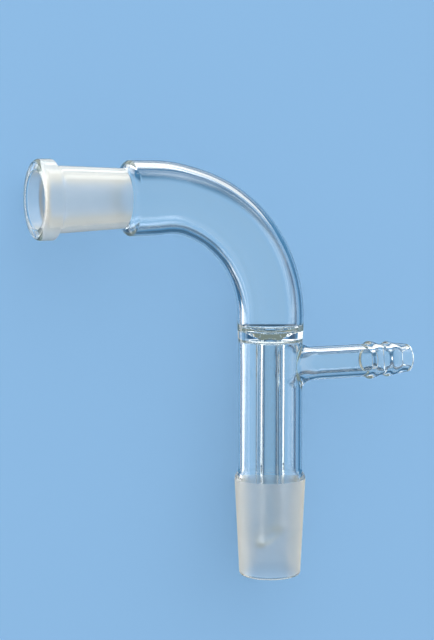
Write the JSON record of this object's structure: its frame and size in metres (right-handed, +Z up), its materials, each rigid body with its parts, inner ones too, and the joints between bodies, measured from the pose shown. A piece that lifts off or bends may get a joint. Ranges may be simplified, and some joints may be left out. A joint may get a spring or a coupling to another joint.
{
  "type": "vacuum take-off adapter",
  "caption": "Clear glass distillation adapter with a ground socket, a right-angle bend, a ring-sealed drip tube, a hose side arm and a ground cone.",
  "frame": {"origin": "middle of the bounding box, on the surface that the adapter lies on", "axes": "+X along the hose side arm, +Y along the stem from the foot of the cone to the ring seal, +Z up; the adapter lies on its side with its symmetry plane level, the socket's mouth faces -X and the cone's foot faces -Y"},
  "size_m": [0.1058, 0.1108, 0.0204],
  "materials": {
    "borosilicate_glass": "clear and fire polished, with the ground socket bore and the ground cone frosted"
  },
  "bodies": {
    "root": {"adapter": "borosilicate_glass"}
  },
  "joints": []
}
